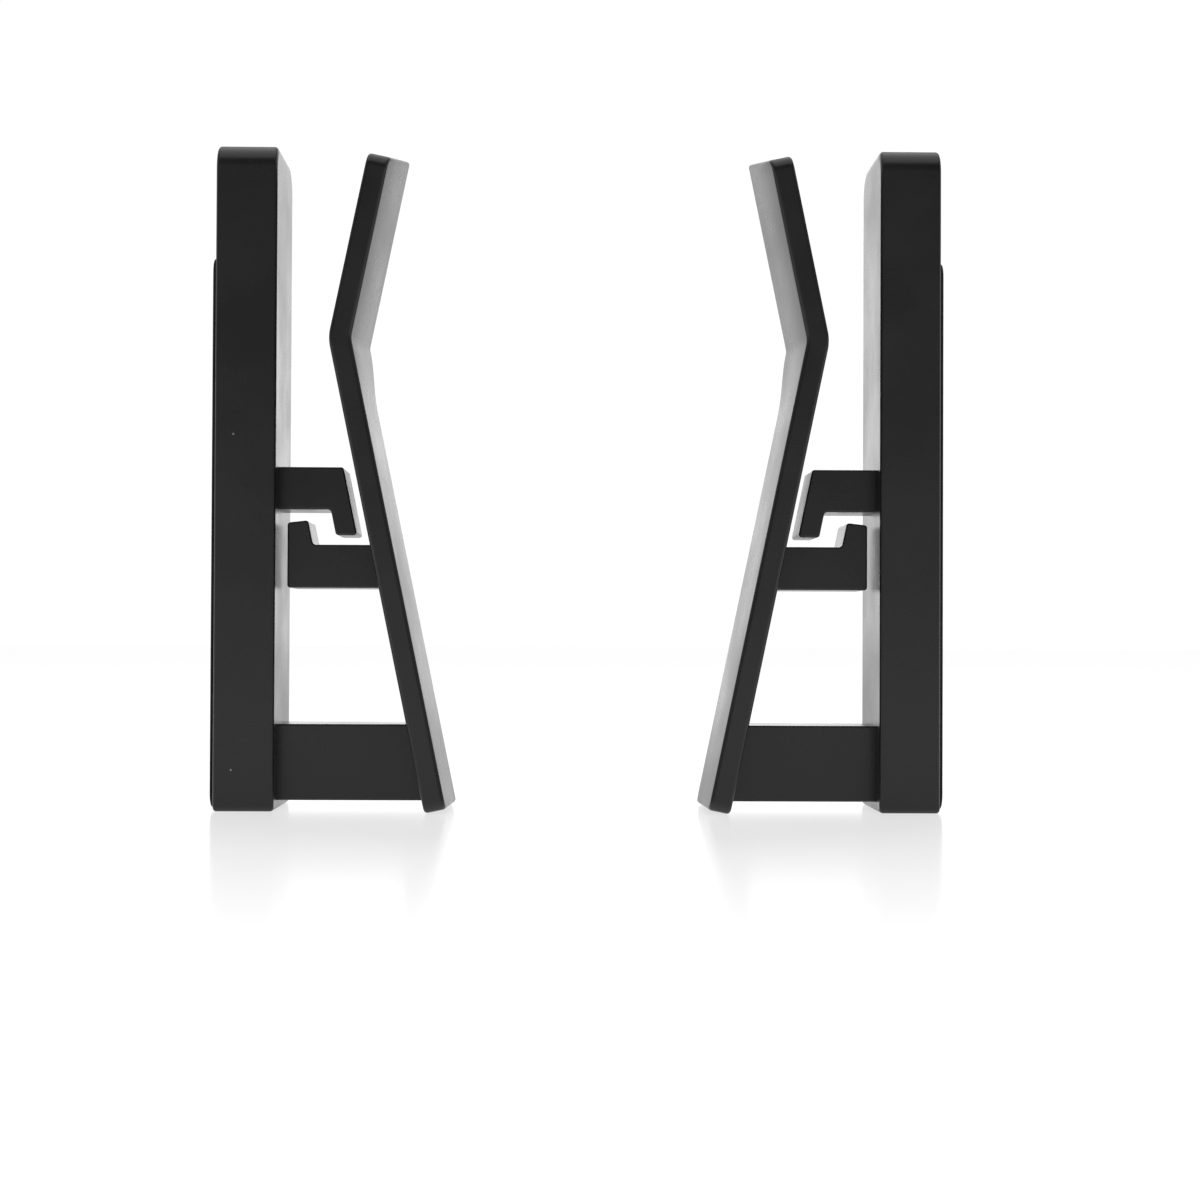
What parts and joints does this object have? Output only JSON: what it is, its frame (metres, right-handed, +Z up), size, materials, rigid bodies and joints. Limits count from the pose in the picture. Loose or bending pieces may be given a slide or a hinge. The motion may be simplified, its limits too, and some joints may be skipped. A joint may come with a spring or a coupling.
{
  "type": "book ends",
  "caption": "Pair of black clip-arm book ends: a padded weighted upright with a bent spring arm and interlocking hooks.",
  "frame": {"origin": "on the floor, midway between the two units and centred front to back", "axes": "+X along the row of books towards the right unit, +Y from front to back, +Z up"},
  "size_m": [0.188, 0.05, 0.1715],
  "materials": {
    "black_plastic": "fine grained, satin",
    "black_rubber": "matte",
    "steel": "plain"
  },
  "bodies": {
    "left_unit": {"left_upright_shell": "black_plastic", "left_ballast_bar": "steel", "left_grip_pad": "black_rubber", "left_bridge": "black_plastic", "left_bridge_screws": "steel", "left_upper_hook": "black_plastic", "left_hook_screw": "steel", "left_arm_foot": "black_plastic", "left_arm_flexure": "black_plastic"},
    "left_arm": {"left_arm_blade": "black_plastic", "left_lower_hook": "black_plastic"},
    "right_unit": {"right_upright_shell": "black_plastic", "right_ballast_bar": "steel", "right_grip_pad": "black_rubber", "right_bridge": "black_plastic", "right_bridge_screws": "steel", "right_upper_hook": "black_plastic", "right_hook_screw": "steel", "right_arm_foot": "black_plastic", "right_arm_flexure": "black_plastic"},
    "right_arm": {"right_arm_blade": "black_plastic", "right_lower_hook": "black_plastic"}
  },
  "joints": [
    {"name": "row_spacing", "type": "slide", "parent": "left_unit", "child": "right_unit", "axis": [1, 0, 0], "range_m": [-0.05, 0.25]},
    {"name": "left_arm_flex", "type": "hinge", "parent": "left_unit", "child": "left_arm", "pos_m": [-0.04216, 0, 0.03053], "axis": [0, 1, 0], "range_deg": [-2.3, 5.2], "stiffness_Nm_per_rad": 30, "deforming": ["left_arm_flexure"]},
    {"name": "right_arm_flex", "type": "hinge", "parent": "right_unit", "child": "right_arm", "pos_m": [0.04216, 0, 0.03053], "axis": [0, -1, 0], "range_deg": [-2.3, 5.2], "stiffness_Nm_per_rad": 30, "deforming": ["right_arm_flexure"]}
  ]
}
